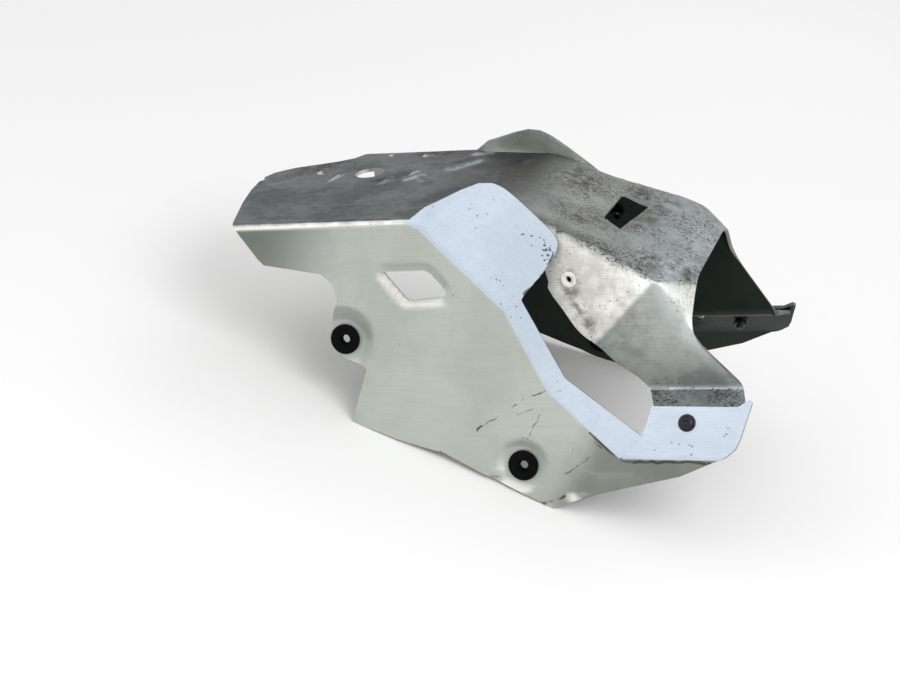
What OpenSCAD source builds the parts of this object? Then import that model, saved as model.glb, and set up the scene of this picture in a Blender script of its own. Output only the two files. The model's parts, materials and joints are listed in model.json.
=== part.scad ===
// Folded aluminium skid plate of a motorbike, lying belly up as it rests on a floor.
// Millimetres, +X toward the nose, +Z up. The guard is drawn in its own axes first:
// x forward along the belly, y across, z = 0 on the outer face of the belly.

/* [Sheet] */
// Thickness of the sheet
sheet_t = 3; // [2.5:0.1:4]
// Outer radius of the long folds between belly and side walls
fold_r = 7; // [5:0.5:9]

/* [Belly] */
// Width of the belly over the two folds
belly_w = 188; // [176:1:200]
// Length of the belly from its rear corner to the bend of the nose
belly_l = 243; // [236:1:250]
// Length of the side fold before the flange leaves it
fold_l = 151; // [147:1:155]
// How far the rear tongue reaches behind the corner
tongue = 24; // [14:1:34]
// Length of the slanted cut at the far rear corner
corner_cut = 54; // [40:1:64]

/* [Side walls] */
// Outward lean of a side wall, in degrees from upright
wall_lean = 11.3; // [9:0.1:13]
// Depth of the rear foot below the belly
rear_foot_z = 163.5; // [158:0.5:168]
// Distance of the rear foot from the rear corner
rear_foot_x = 96; // [92:1:100]
// Depth of the front foot below the belly
front_foot_z = 230.5; // [226:0.5:236]
// Distance of the front foot from the rear corner
front_foot_x = 260; // [256:1:264]
// Depth of the ridge at its upper knee
knee_z = 72; // [69:0.5:75]
// Depth of the ridge at its lower knee
elbow_z = 136; // [132:0.5:140]
// Depth of the level ridge under the bracket
bracket_z = 189; // [186:0.5:192]

/* [Window] */
// Length of the window in the side wall
window_l = 44; // [36:1:48]
// Height of the window in the side wall
window_h = 22; // [16:1:26]

/* [Flanges] */
// Bend of the near flange out of the wall, in degrees
near_bend = 15; // [13:0.5:17]
// Bend of the far flange out of the wall, in degrees
far_bend = 17; // [15:0.5:18]
// Bend of the near bracket out of the wall, in degrees
near_bracket_bend = 22; // [19:0.5:25]
// Bend of the far bracket out of the wall, in degrees
far_bracket_bend = 27; // [23:0.5:29]
// Reach of the wide panel from its ridge
panel_w = 72; // [68:1:76]
// Width of the strip beside the side opening
strip_w = 16; // [13:0.5:18]
// Height of the bracket above its ridge
bracket_h = 42; // [39:0.5:44]

/* [Nose] */
// Slope of the nose below the belly, in degrees
nose_slope = 25; // [22:0.5:28]
// Length of the nose top along its slope
nose_l = 150; // [146:1:154]
// Half width of the nose at its front corners
nose_tip_w = 62; // [56:1:68]
// Depth of the kink in the front edge of the nose side
kink_z = 101; // [98:0.5:104]
// Depth of the bend where the nose side turns out to the bracket
sill_z = 152; // [150:0.5:154]
// Length of the vent in the nose top
vent_l = 22; // [16:1:26]
// Width of the vent in the nose top
vent_w = 64; // [50:1:70]

/* [Grommets] */
// Outer diameter of a rubber grommet
grommet_d = 25; // [23:0.5:27]
// Diameter of the hole that holds a grommet
grommet_hole_d = 18; // [16:0.5:20]
// Bore through a grommet
grommet_bore_d = 9; // [7:0.5:11]
// Thickness of a grommet lip
grommet_lip = 4; // [3:0.5:5]
// Depth of the dimple round the front grommet
dimple_depth = 3; // [2:0.5:4]
// Step by which the rear ear is set inward
ear_step = 6; // [4:0.5:8]

/* [Fasteners] */
// Thread diameter of the bolts and rivet nuts
thread_d = 6; // [5:0.5:6]
// Head diameter of the bracket bolt
bolt_head_d = 14; // [13:0.5:15]
// Flange diameter of the rivet nut
rivet_flange_d = 13.5; // [12.5:0.5:14.5]
// Length of the rivet nut behind its flange
rivet_l = 13; // [11:0.5:15]
// Belly fixing hole diameter
belly_hole_d = 11; // [9:0.5:12]
// Drain hole diameter in the belly
drain_d = 26; // [22:0.5:28]

/* [Hidden] */
$fn = 48;
fit = 0.2;                       // clearance between pieces that slide into each other
seam_w = 0.4;                    // how far the wall stays back from the line of the ridge
over = -0.7;                     // a plate runs on through a shallow fold
under = 0.4;                     // a plate stops short of a sharp fold
wt = tan(wall_lean);
half = belly_w / 2;
aluminium = "#c9cac4";
rubber = "#1b1b1d";
black_steel = "#16181d";
steel = "#9a9a94";

function unit(v) = v / norm(v);
// Point on the outer face of a side wall, near side (negative y)
function on_wall(x, z) = [x, -half + wt * z, z];
wall_n = unit([0, -1, wt]);
// Outward normal of a flange that leaves the wall along a ridge, bent inward by ang
function in_dir(d) = unit(cross(d, wall_n));
function flange_n(a, b, ang) = let (d = unit(b - a))
  unit(wall_n * cos(ang) + cross(wall_n, d) * sin(ang));

// Ridge between the wall and the flange: x and z of its corners
k0 = on_wall(fold_l, 0);
k1 = on_wall(fold_l + 13, -6);
k2 = on_wall(fold_l + 15 + knee_z - 6, -knee_z);
k3 = on_wall(fold_l + 81 + (elbow_z - knee_z) / 2, -elbow_z);
k4 = on_wall(fold_l + 113 + bracket_z - elbow_z + 3, -bracket_z);
k5 = on_wall(fold_l + 251, -bracket_z);
nose_tip_x = belly_l + nose_l * cos(nose_slope);

// Outline with side i moved inward by d[i]; sides without a value stay
function inset(p, d) = let (n = len(p),
  area = [for (i = [0:n - 1]) cross(p[i], p[(i + 1) % n])] * [for (i = p) 1], s = sign(area),
  g = [for (i = [0:n - 1]) i < len(d) ? d[i] : 0])
  [for (i = [0:n - 1]) let (a = p[(i + n - 1) % n], b = p[i], c = p[(i + 1) % n],
    e = unit(b - a), f = unit(c - b), u = s * [-e[1], e[0]], v = s * [-f[1], f[0]],
    p0 = g[(i + n - 1) % n], p1 = g[i], w = cross(u, v))
    abs(w) < 0.02 ? b + u * p0 : b + [p0 * v[1] - p1 * u[1], p1 * u[0] - p0 * v[0]] / w];
// Flat plate from its outer face outline, thickness to the inside. seams holds, side by side,
// over: the plate runs on a little through a shallow fold, or under: it stops short of a sharp one
module plate(pts, n, seams = []) {
  o = pts[0]; ex = unit(pts[1] - pts[0]); ey = cross(n, ex);
  multmatrix([[ex[0], ey[0], n[0], o[0]], [ex[1], ey[1], n[1], o[1]],
              [ex[2], ey[2], n[2], o[2]], [0, 0, 0, 1]])
    translate([0, 0, -sheet_t]) linear_extrude(sheet_t)
      polygon(inset([for (p = pts) [(p - o) * ex, (p - o) * ey]], seams));
}
// Places children with their z axis along n at point o
module at(o, n, x = [1, 0, 0]) {
  ex = unit(x - n * (x * n)); ey = cross(n, ex);
  multmatrix([[ex[0], ey[0], n[0], o[0]], [ex[1], ey[1], n[1], o[1]],
              [ex[2], ey[2], n[2], o[2]], [0, 0, 0, 1]]) children();
}
// Point of a blank: u along the ridge from a, v from the ridge into the flange
function blank(a, b, n, u, v) = let (d = unit(b - a)) a + d * u + cross(n, d) * v;
// Where the crease between two flanges that share the ridge corner k reaches width v
function crease(k, d, n, n2, v) = let (c0 = unit(cross(n, n2)),
  w = cross(n, d), c = (c0 * w < 0) ? -c0 : c0) k + c * (v / (c * w));

// Folded sheet
// Solid section of the trough, set inward by d: belly, round fold and leaning wall
module trough_solid(d) {
  r = fold_r - d; a = 90 - wall_lean; depth = front_foot_z + 12;
  c = [half - fold_r * tan(a / 2), -fold_r];
  foot = [half + depth * wt - d / cos(wall_lean), -depth];
  for (s = [0, 1]) mirror([s, 0]) {
    polygon([[-1, -d], [c[0], -d], c + r * [cos(wall_lean), sin(wall_lean)], foot, [-1, -depth]]);
    translate(c) circle(r);
  }
}
module trough_profile() {
  difference() {
    trough_solid(0);
    intersection() {
      trough_solid(sheet_t);
      translate([-300, -front_foot_z - 20]) square([600, front_foot_z + 20]);
    }
    translate([-300, -front_foot_z - 40]) square([600, 30]);
  }
}
// Side outline of a wall: x and z
function wall_outline(cut) = [
  [cut, 9], [cut, -2], [max(cut, 21), -28], [max(cut, 26), -33], [max(cut + 4, 48), -36.5],
  [76, -41], [85, -48], [88, -55], [88.5, -64], [82, -77], [77, -90], [78, -98], [82.5, -105.5],
  [90, -111], [97, -113.5], [106, -115.5], [110, -119],
  [rear_foot_x + 3, 15 - rear_foot_z], [rear_foot_x - 1.5, 3.5 - rear_foot_z],
  [rear_foot_x, -rear_foot_z], [rear_foot_x + 39, -rear_foot_z - 14],
  [rear_foot_x + 77, -rear_foot_z - 24], [rear_foot_x + 106, -rear_foot_z - 39],
  [front_foot_x - 6, 3.5 - front_foot_z], [front_foot_x, -front_foot_z],
  [front_foot_x + 7, 1.5 - front_foot_z], [front_foot_x + 42, 12.5 - front_foot_z],
  [front_foot_x + 108, 28 - front_foot_z], [k5[0] - 6, -bracket_z - 1.5],
  [k5[0], -bracket_z - seam_w],
  [k4[0] - seam_w / 2, k4[2] - seam_w], [k3[0] - seam_w, k3[2] - seam_w / 2],
  [k2[0] - seam_w, k2[2] - seam_w / 2], [k1[0] - seam_w / 2, k1[2] - seam_w], [k0[0], 0], [k0[0], 9]];

module walls() {
  for (s = [0, 1]) intersection() {
    rotate([90, 0, 90]) translate([0, 0, -tongue - 5]) linear_extrude(k5[0] + tongue + 30)
      trough_profile();
    union() {
      mirror([0, s, 0]) translate([0, -60, 0]) rotate([90, 0, 0]) linear_extrude(140)
        polygon(wall_outline(s == 0 ? 0 : corner_cut));
      if (s == 0) translate([0, 0, -20]) linear_extrude(30) polygon([
        [0, -half - 2], [0, -half + 10], [9 - tongue, -38], [2 - tongue, -2], [-tongue, 21],
        [1 - tongue, 26], [-tongue, 31], [5 - tongue, 44], [20 - tongue, 56],
        [corner_cut - 21, 71], [corner_cut - 9, 79], [corner_cut, half + 1],
        [fold_l, half + 2], [fold_l + 15, half - 9], [fold_l + 60, half - 18],
        [belly_l - over, -nose_a[1]], [belly_l - over, nose_a[1]],
        [fold_l + 60, 18 - half], [fold_l + 15, 9 - half], [fold_l, -half - 2]]);
    }
  }
}

// Flanges of one side: bend is the fold out of the wall, bb that of the bracket
module flanges(bend, bb) {
  nb = flange_n(k1, k2, bend);
  nc = flange_n(k2, k3, bend);
  nd = flange_n(k3, k4, bend);
  ne = flange_n(k4, k5, bb);
  u2 = norm(k2 - k1);
  q = crease(k2, unit(k3 - k2), nc, nb, strip_w);
  q2 = crease(k3, unit(k4 - k3), nd, nc, strip_w + 1);
  q3 = crease(k4, unit(k5 - k4), ne, nd, strip_w + 1);
  plate([k1, k2, q,
    blank(k1, k2, nb, u2 + 2, 41), blank(k1, k2, nb, u2, 54), blank(k1, k2, nb, u2 - 3, panel_w - 4),
    blank(k1, k2, nb, u2 - 5, panel_w - 1), blank(k1, k2, nb, u2 - 9, panel_w),
    blank(k1, k2, nb, 36, panel_w), blank(k1, k2, nb, 26, panel_w - 1.5),
    blank(k1, k2, nb, 19, panel_w - 4.5), blank(k1, k2, nb, 11, panel_w - 12),
    blank(k1, k2, nb, 4, 46), blank(k1, k2, nb, -1, 33), blank(k1, k2, nb, -8, 16),
    blank(k1, k2, nb, -13, 4)], nb, [over, over]);
  plate([k2, k3, q2, q], nc, [over, over, 0, over]);
  plate([k3, k4, q3, q2], nd, [over, over, 0, over]);
  plate([k4, k5, blank(k4, k5, ne, 92, 9), blank(k4, k5, ne, 96, 18), blank(k4, k5, ne, 100, 32),
    blank(k4, k5, ne, 104, bracket_h + 3), blank(k4, k5, ne, 102, bracket_h + 6),
    blank(k4, k5, ne, 93, bracket_h), blank(k4, k5, ne, 24, bracket_h),
    blank(k4, k5, ne, 20, 26), blank(k4, k5, ne, 17, 19), q3], ne,
    [over, 0, 0, 0, 0, 0, 0, 0, 0, 0, over]);
}

// Nose: corners of the near side, mirrored for the far one
function nose_at(s, y) = [belly_l + s * cos(nose_slope), y, -s * sin(nose_slope)];
nose_a = nose_at(0, -73);
nose_b = nose_at(38, -77);
nose_c = nose_at(122.5, -95);
nose_d = nose_at(nose_l, -nose_tip_w);
nose_k = [nose_tip_x - 3, -92, -kink_z];
nose_g1 = [belly_l + 93, -78, -sill_z];
nose_g2 = [nose_tip_x + 33, -78, 1 - sill_z];
nose_e = [belly_l + 56.5, -91, -106];
nose_n = [sin(nose_slope), 0, cos(nose_slope)];
cream_n = unit(cross(nose_e - nose_b, nose_c - nose_b));
grey_n = unit(cross(nose_g1 - nose_k, nose_g2 - nose_k));
function on_plane(x, z, o, n) = [x, o[1] - (n[0] * (x - o[0]) + n[2] * (z - o[2])) / n[1], z];
function cream(x, z) = on_plane(x, z, nose_b, cream_n);
function grey(x, z) = on_plane(x, z, nose_k, grey_n);

module nose_side(bb) {
  plate([cream(belly_l + 8, -2), cream(nose_b[0], nose_b[2]), nose_c,
    cream(nose_e[0], nose_e[2]), cream(belly_l + 48, -105.5),
    cream(belly_l + 39.5, -96), cream(belly_l + 29.5, -81), cream(belly_l + 22, -71),
    cream(belly_l + 18, -64), cream(belly_l + 19, -59)],
    cream_out, [under, under, over]);
  up0 = unit(cross(nose_k - nose_c, nose_e - nose_c)); up_n = -sign(up0[1]) * up0;
  plate([nose_c, nose_k, nose_e], up_n, [over, over, over]);
  plate([grey(nose_e[0], nose_e[2]), nose_k, nose_g2, nose_g1,
    grey(belly_l + 85, 11 - sill_z), grey(belly_l + 74, 21 - sill_z),
    grey(belly_l + 66, 29 - sill_z)],
    grey_out, [over, 0, under]);
  fc0 = unit(cross(nose_d - nose_c, nose_k - nose_c)); fc_n = -sign(fc0[1]) * fc0;
  plate([nose_c, nose_d, nose_k], fc_n, [under, 0, over]);
  // sill from the nose side out to the bracket, and the lap behind the bracket
  ne = flange_n(k4, k5, bb);
  off = ne * (sheet_t + fit);
  h1 = blank(k4, k5, ne, 26, bracket_h - 2) - off;
  h2 = blank(k4, k5, ne, 99, bracket_h - 2) - off;
  sl_n = unit(cross(nose_g2 - nose_g1, h1 - nose_g1));
  sill_n = sign(sl_n[2]) * sl_n;
  plate([nose_g1, nose_g2, h2, h1], sill_n, [under, 0, under]);
  plate([h1, h2, blank(k4, k5, ne, 94, 16) - off, blank(k4, k5, ne, 30, 16) - off], ne, [under]);
}

module nose_top() {
  plate([nose_a, nose_b, nose_c, nose_d,
    mirror_y(nose_d), mirror_y(nose_c), mirror_y(nose_b), mirror_y(nose_a)], nose_n,
    [under, under, under, 0, under, under, under, over]);
}
function mirror_y(p) = [p[0], -p[1], p[2]];

// Places of the fittings, near side
gf_o = on_wall(front_foot_x - 21, 34 - front_foot_z);
gr_o = on_wall(rear_foot_x - 4.5, 68.5 - rear_foot_z);
ear_r1 = grommet_d / 2 + 3;
ear_r2 = ear_r1 + 2.4 * ear_step;
dimple_r1 = grommet_d / 2 + 2;
dimple_r2 = dimple_r1 + 5;
function bolt_n(bb) = flange_n(k4, k5, bb);
function bolt_o(bb) = blank(k4, k5, bolt_n(bb), 53, 29);
cream_out = -sign(cream_n[1]) * cream_n;
grey_out = -sign(grey_n[1]) * grey_n;
rivet_o = cream(belly_l + 37, -56);

module bore(o, n, d, up = 6, down = 12) {
  at(o, n) translate([0, 0, -down]) cylinder(d = d, h = up + down);
}

// Dish pressed into a wall round a grommet: flat to r1, sloping up to the wall at r2
module dish(depth, r1, r2) {
  rotate_extrude() polygon([
    [grommet_hole_d / 2, -depth], [r1, -depth], [r2, 0], [r2 + 0.5, 0],
    [r2 + 0.5, -sheet_t], [r2 + 0.6 - 0.1 * depth, -sheet_t], [r1 + 0.6, -sheet_t - depth],
    [grommet_hole_d / 2, -sheet_t - depth]]);
}
module ear() {
  intersection() {
    at(gr_o, wall_n) dish(ear_step, ear_r1, ear_r2);
    translate([0, -60, 0]) rotate([90, 0, 0]) linear_extrude(140) polygon(wall_outline(0));
  }
}

module dimple() { at(gf_o, wall_n) dish(dimple_depth, dimple_r1, dimple_r2); }

module guard_side(far) {
  mirror([0, far ? 1 : 0, 0]) {
    flanges(far ? far_bend : near_bend, far ? far_bracket_bend : near_bracket_bend);
    nose_side(far ? far_bracket_bend : near_bracket_bend);
    ear();
    dimple();
  }
}

module side_cuts(far) {
  mirror([0, far ? 1 : 0, 0]) {
    bore(gf_o, wall_n, 2 * dimple_r2, 3, 6);
    bore(gr_o, wall_n, 2 * ear_r2, 3, 6);
    // window, a parallelogram with rounded corners
    rotate([90, 0, 0]) translate([fold_l + 5, -51, half - 20]) linear_extrude(60)
      polygon([[-window_l / 2 - 4, window_h / 2], [window_l / 2 - 8, window_h / 2],
        [window_l / 2 - 4, window_h / 2 - 2], [window_l / 2 + 6, -window_h / 2 + 7],
        [window_l / 2 + 7, -window_h / 2 + 3], [window_l / 2 + 4, -window_h / 2],
        [-window_l / 2 + 16, -window_h / 2]]);
  }
}
module fastener_cuts(far) {
  bb = far ? far_bracket_bend : near_bracket_bend;
  mirror([0, far ? 1 : 0, 0]) {
    bore(rivet_o, cream_out, thread_d + 3 + fit, 6, 8);
    bore(bolt_o(bb), bolt_n(bb), thread_d + 0.6, 6, 12);
  }
}

module guard_body() {
  difference() {
    union() {
      difference() {
        walls();
        side_cuts(false);
        side_cuts(true);
      }
      nose_top();
      guard_side(false);
      guard_side(true);
    }
    fastener_cuts(false);
    fastener_cuts(true);
    // vent across the nose top
    at(nose_at(72, 14), nose_n) translate([0, 0, -8]) linear_extrude(16) polygon([
      [-vent_l / 2 - 2, -vent_w / 2 - 2], [vent_l / 2 - 5, -vent_w / 2 - 8],
      [vent_l / 2 + 2, vent_w / 2 + 1], [-vent_l / 2, vent_w / 2 - 3]]);
    // drain and fixing holes of the belly
    translate([76, 34, -8]) cylinder(d = drain_d, h = 16);
    translate([29, 40, -8]) cylinder(d = belly_hole_d, h = 16);
  }
}

module grommet() {
  r = grommet_d / 2; b = grommet_bore_d / 2; c = grommet_hole_d / 2 - fit / 2;
  rotate_extrude() polygon([[b, 1 - sheet_t - grommet_lip], [r - 1.5, -sheet_t - grommet_lip],
    [r, 1.5 - sheet_t - grommet_lip], [r, -sheet_t], [c, -sheet_t], [c, 0], [r, 0],
    [r, grommet_lip - 1.5], [r - 1.5, grommet_lip], [b, grommet_lip - 1]]);
}
module rivet_nut() {
  difference() {
    union() {
      cylinder(d = rivet_flange_d, h = 1.2);
      translate([0, 0, -rivet_l]) cylinder(d = thread_d + 3, h = rivet_l + 0.6);
    }
    translate([0, 0, -rivet_l - 1]) cylinder(d = thread_d - 0.9, h = rivet_l + 5);
  }
}
module bracket_bolt() {
  difference() {
    union() {
      cylinder(d = bolt_head_d, h = 1.2);
      translate([0, 0, 1.2]) cylinder(d1 = bolt_head_d - 2.5, d2 = bolt_head_d - 6, h = 2.6);
      translate([0, 0, -16]) cylinder(d = thread_d, h = 16.6);
    }
    translate([0, 0, 1.6]) cylinder(d = 4.6, h = 4, $fn = 6);
  }
}
module bracket_nut() {
  difference() {
    union() {
      translate([0, 0, -1.2]) cylinder(d = bolt_head_d, h = 1.2);
      translate([0, 0, -6.2]) cylinder(d = 11.5, h = 5.4, $fn = 6);
    }
    translate([0, 0, -8]) cylinder(d = thread_d + fit, h = 10);
  }
}

// Resting pose: the feet of both walls stand on the floor
pitch = atan2(front_foot_z - rear_foot_z, front_foot_x - rear_foot_x);
foot_x = cos(pitch) * rear_foot_x + sin(pitch) * rear_foot_z;
lift = cos(pitch) * rear_foot_z - sin(pitch) * rear_foot_x;
// Reach along the floor of a point of the guard, and of the front corner of a bracket
function reach(p) = cos(pitch) * p[0] - sin(pitch) * p[2];
function bracket_tip(bb) = let (n = bolt_n(bb))
  max([for (c = [[96, 18], [104, bracket_h + 3], [100, 32]])
    reach(blank(k4, k5, n, c[0], c[1]) - n * sheet_t)]);
rest_x = (max(bracket_tip(near_bracket_bend), bracket_tip(far_bracket_bend)) - cos(pitch) * tongue) / 2;
module rest() {
  translate([-rest_x, 0, lift]) rotate([0, -pitch, 0]) children();
}

module guard_plate() color(aluminium) rest() guard_body();
module side_fit(far) { rest() mirror([0, far ? 1 : 0, 0]) children(); }
module grommet_front_near() color(rubber) side_fit(false)
  at(gf_o - wall_n * dimple_depth, wall_n) grommet();
module grommet_front_far() color(rubber) side_fit(true)
  at(gf_o - wall_n * dimple_depth, wall_n) grommet();
module grommet_rear_near() color(rubber) side_fit(false)
  at(gr_o - wall_n * ear_step, wall_n) grommet();
module grommet_rear_far() color(rubber) side_fit(true)
  at(gr_o - wall_n * ear_step, wall_n) grommet();
module rivet_nut_near() color(steel) side_fit(false) at(rivet_o, cream_out) rivet_nut();
module rivet_nut_far() color(steel) side_fit(true) at(rivet_o, cream_out) rivet_nut();
module bracket_bolt_near() color(black_steel) side_fit(false)
  at(bolt_o(near_bracket_bend), bolt_n(near_bracket_bend)) bracket_bolt();
module bracket_bolt_far() color(black_steel) side_fit(true)
  at(bolt_o(far_bracket_bend), bolt_n(far_bracket_bend)) bracket_bolt();
module bracket_nut_near() color(black_steel) side_fit(false)
  at(bolt_o(near_bracket_bend) - bolt_n(near_bracket_bend) * (2 * sheet_t + fit),
    bolt_n(near_bracket_bend)) bracket_nut();
module bracket_nut_far() color(black_steel) side_fit(true)
  at(bolt_o(far_bracket_bend) - bolt_n(far_bracket_bend) * (2 * sheet_t + fit),
    bolt_n(far_bracket_bend)) bracket_nut();

guard_plate();
grommet_front_near();
grommet_front_far();
grommet_rear_near();
grommet_rear_far();
rivet_nut_near();
rivet_nut_far();
bracket_bolt_near();
bracket_bolt_far();
bracket_nut_near();
bracket_nut_far();
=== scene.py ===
"""Looks of a folded aluminium skid plate of a motorbike, lying belly up on a pale floor.

Sizes are in millimetres in the guard's own axes: x forward along the belly, y across, z = 0 on
the outer face of the belly, with the near side at negative y. GuardPlan carries every point
from there into the shared frame, in metres.
"""
import json
import logging
import math
from dataclasses import dataclass, field
from enum import Enum, IntEnum
from typing import ClassVar

import bmesh
import bpy
from mathutils import Matrix, Vector, noise
from mathutils.geometry import intersect_point_line

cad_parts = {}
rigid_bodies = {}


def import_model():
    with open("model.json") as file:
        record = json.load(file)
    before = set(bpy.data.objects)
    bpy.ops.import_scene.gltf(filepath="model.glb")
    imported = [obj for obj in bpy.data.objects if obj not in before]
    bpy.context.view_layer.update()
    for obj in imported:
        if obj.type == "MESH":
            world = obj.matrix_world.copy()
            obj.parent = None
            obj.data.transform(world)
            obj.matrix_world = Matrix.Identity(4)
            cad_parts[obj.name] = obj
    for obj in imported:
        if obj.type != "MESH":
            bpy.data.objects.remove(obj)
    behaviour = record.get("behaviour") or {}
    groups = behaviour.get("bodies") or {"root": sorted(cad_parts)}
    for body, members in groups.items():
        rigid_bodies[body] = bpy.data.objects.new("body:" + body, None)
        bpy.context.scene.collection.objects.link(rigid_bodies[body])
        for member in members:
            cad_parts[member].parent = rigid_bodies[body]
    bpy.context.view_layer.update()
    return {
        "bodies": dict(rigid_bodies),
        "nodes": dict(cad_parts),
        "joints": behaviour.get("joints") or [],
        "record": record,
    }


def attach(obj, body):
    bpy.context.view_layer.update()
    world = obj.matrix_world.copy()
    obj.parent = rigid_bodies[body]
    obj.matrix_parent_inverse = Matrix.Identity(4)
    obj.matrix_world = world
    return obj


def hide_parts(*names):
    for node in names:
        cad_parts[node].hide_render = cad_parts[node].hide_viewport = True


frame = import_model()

LOG = logging.getLogger("skid_plate")
MM = 0.001
ROOT = "root"
UP = (0, 0, 1)
Point = tuple[float, float, float]
Flat = tuple[float, float]
Stroke = tuple[Point, Point, float]
Dent = tuple[Flat, Flat, float, float]


class Side(IntEnum):
    """Side of the guard; the value is the sign of y there."""

    NEAR = -1
    FAR = 1

    @property
    def word(self) -> str:
        """The side as the names of pieces say it."""
        return self.name.lower()


class Region(IntEnum):
    """Part of the sheet that has a finish of its own; the value is its material slot."""

    WALL = 0
    FLANGE = 1
    TOP = 2
    EDGE = 3
    INSIDE = 4


class Slot(Enum):
    """Material slots of the record."""

    SHEET = "sheet"
    RUBBER = "rubber"
    INSERT = "insert"
    BOLT = "bolt"


def smooth(t: float) -> float:
    """Smooth step of t between 0 and 1."""
    t = min(1.0, max(0.0, t))
    return t * t * (3 - 2 * t)


def on_side(v: Vector, side: Side) -> Vector:
    """Carries a point or a direction of the near side over to a side."""
    return Vector((v[0], -side * v[1], v[2]))


def line_gap(q: Vector, a: Vector, b: Vector) -> float:
    """Measures how far a point is from a line with ends.

    Args:
        q: The point.
        a: Start of the line.
        b: End of the line.

    Returns:
        The distance.
    """
    t = min(1.0, max(0.0, (q - a).dot(b - a) / (b - a).length_squared))
    return (q - a.lerp(b, t)).length


def circle(d: float, count: int = 40) -> list[Flat]:
    """Corners of a circle of diameter d."""
    turns = [t * math.tau / count for t in range(count)]
    return [(d / 2 * math.cos(t), d / 2 * math.sin(t)) for t in turns]


def link(obj: bpy.types.Object) -> bpy.types.Object:
    """Puts an object into the scene and returns it."""
    bpy.context.scene.collection.objects.link(obj)
    return obj


def mesh_of(bm: bmesh.types.BMesh, name: str) -> bpy.types.Mesh:
    """Turns a bmesh into a mesh.

    Args:
        bm: The bmesh, which is freed.
        name: Name of the mesh.

    Returns:
        The mesh.
    """
    mesh = bpy.data.meshes.new(name)
    bm.to_mesh(mesh)
    bm.free()
    return mesh


def bake_modifiers(obj: bpy.types.Object) -> None:
    """Replaces an object's mesh by the one its modifiers make.

    Args:
        obj: The object, which loses its modifiers.
    """
    graph = bpy.context.evaluated_depsgraph_get()
    mesh = bpy.data.meshes.new_from_object(obj.evaluated_get(graph))
    obj.modifiers.clear()
    old, obj.data = obj.data, mesh
    bpy.data.meshes.remove(old)


def outline_distance(p: Flat, outline: list[Flat]) -> float:
    """Signed distance from a flat point to a closed outline.

    Args:
        p: The point.
        outline: Corners in order.

    Returns:
        Distance in the outline's unit, negative inside.
    """
    best, inside = math.inf, False
    for i, a in enumerate(outline):
        b = outline[i - 1]
        near, t = intersect_point_line(Vector(p), Vector(a), Vector(b))
        near = Vector(a).lerp(Vector(b), min(1.0, max(0.0, t)))
        best = min(best, (Vector(p) - near.to_2d()).length)
        if (a[1] > p[1]) != (b[1] > p[1]):
            if p[0] < (b[0] - a[0]) * (p[1] - a[1]) / (b[1] - a[1]) + a[0]:
                inside = not inside
    return -best if inside else best


@dataclass(frozen=True)
class GuardPlan:
    """Sizes of the folded guard and its place in the shared frame."""

    sheet: float = 3.0
    fold_r: float = 7.0
    half: float = 94.0
    lean: float = 11.3
    belly_l: float = 243.0
    fold_l: float = 151.0
    corner_cut: float = 54.0
    panel_w: float = 72.0
    strip_w: float = 16.0
    bracket_h: float = 42.0
    bracket_z: float = 189.0
    nose_slope: float = 25.0
    pitch: float = 22.2218
    rest_x: float = 214.862
    lift: float = 115.050
    near_bend: float = 15.0
    far_bend: float = 17.0
    near_bracket: float = 22.0
    far_bracket: float = 27.0

    @property
    def wt(self) -> float:
        """Outward lean of a wall as a ratio."""
        return math.tan(math.radians(self.lean))

    @property
    def to_frame(self) -> Matrix:
        """Matrix from the guard's axes in millimetres to the shared frame in metres."""
        turn = Matrix.Rotation(-math.radians(self.pitch), 4, "Y")
        return Matrix.Scale(MM, 4) @ Matrix.Translation((-self.rest_x, 0, self.lift)) @ turn

    def on_wall(self, x: float, z: float, side: Side = Side.NEAR) -> Vector:
        """Point on the outer face of a side wall."""
        return Vector((x, side * (self.half - self.wt * z), z))

    def wall_n(self, side: Side = Side.NEAR) -> Vector:
        """Outward normal of a side wall."""
        return Vector((0, side, self.wt)).normalized()

    def ridge(self) -> list[Vector]:
        """Places the ridge between the near wall and its flanges.

        Returns:
            Its corners, from the rear to the front.
        """
        low = -self.bracket_z
        corners = (self.fold_l, 0), (164, -6), (232, -72), (264, -136), (320, low), (402, low)
        return [self.on_wall(x, z) for x, z in corners]

    def flange_n(self, a: Vector, b: Vector, bend: float) -> Vector:
        """Works out how a flange of the near wall faces.

        Args:
            a: Start of its ridge.
            b: End of its ridge.
            bend: How far it is bent in, in degrees.

        Returns:
            Its outward normal.
        """
        d, n, t = (b - a).normalized(), self.wall_n(), math.radians(bend)
        return (n * math.cos(t) + n.cross(d) * math.sin(t)).normalized()

    def bracket_n(self, side: Side) -> Vector:
        """Outward normal of a side's bracket, drawn on the near side."""
        k = self.ridge()
        return self.flange_n(k[4], k[5], self.near_bracket if side == Side.NEAR else self.far_bracket)

    def nose_at(self, s: float, y: float) -> Vector:
        """Point on the nose top, s along its slope."""
        t = math.radians(self.nose_slope)
        return Vector((self.belly_l + s * math.cos(t), y, -s * math.sin(t)))


def blank(a: Vector, b: Vector, n: Vector, u: float, v: float) -> Vector:
    """Point on a flange: u along its ridge from a, v away from the ridge."""
    d = (b - a).normalized()
    return a + d * u + n.cross(d) * v


def crease_end(k: Vector, d: Vector, n: Vector, n2: Vector, v: float) -> Vector:
    """Finds where the crease between two flanges ends.

    Args:
        k: Corner that the flanges share.
        d: Direction of the ridge there.
        n: Normal of the flange on that ridge.
        n2: Normal of the other flange.
        v: Width of the first flange.

    Returns:
        The end of the crease.
    """
    w, c = n.cross(d), n.cross(n2).normalized()
    c = -c if c.dot(w) < 0 else c
    return k + c * (v / c.dot(w))


class ZoneBy(Enum):
    """What a zone of a finish goes by."""

    PLACE = "place in the guard's axes"
    # Zones by tilt are painted highlight and shade: a tone by how the surface faces.
    TILT = "tilt of the surface in the shared frame"


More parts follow.
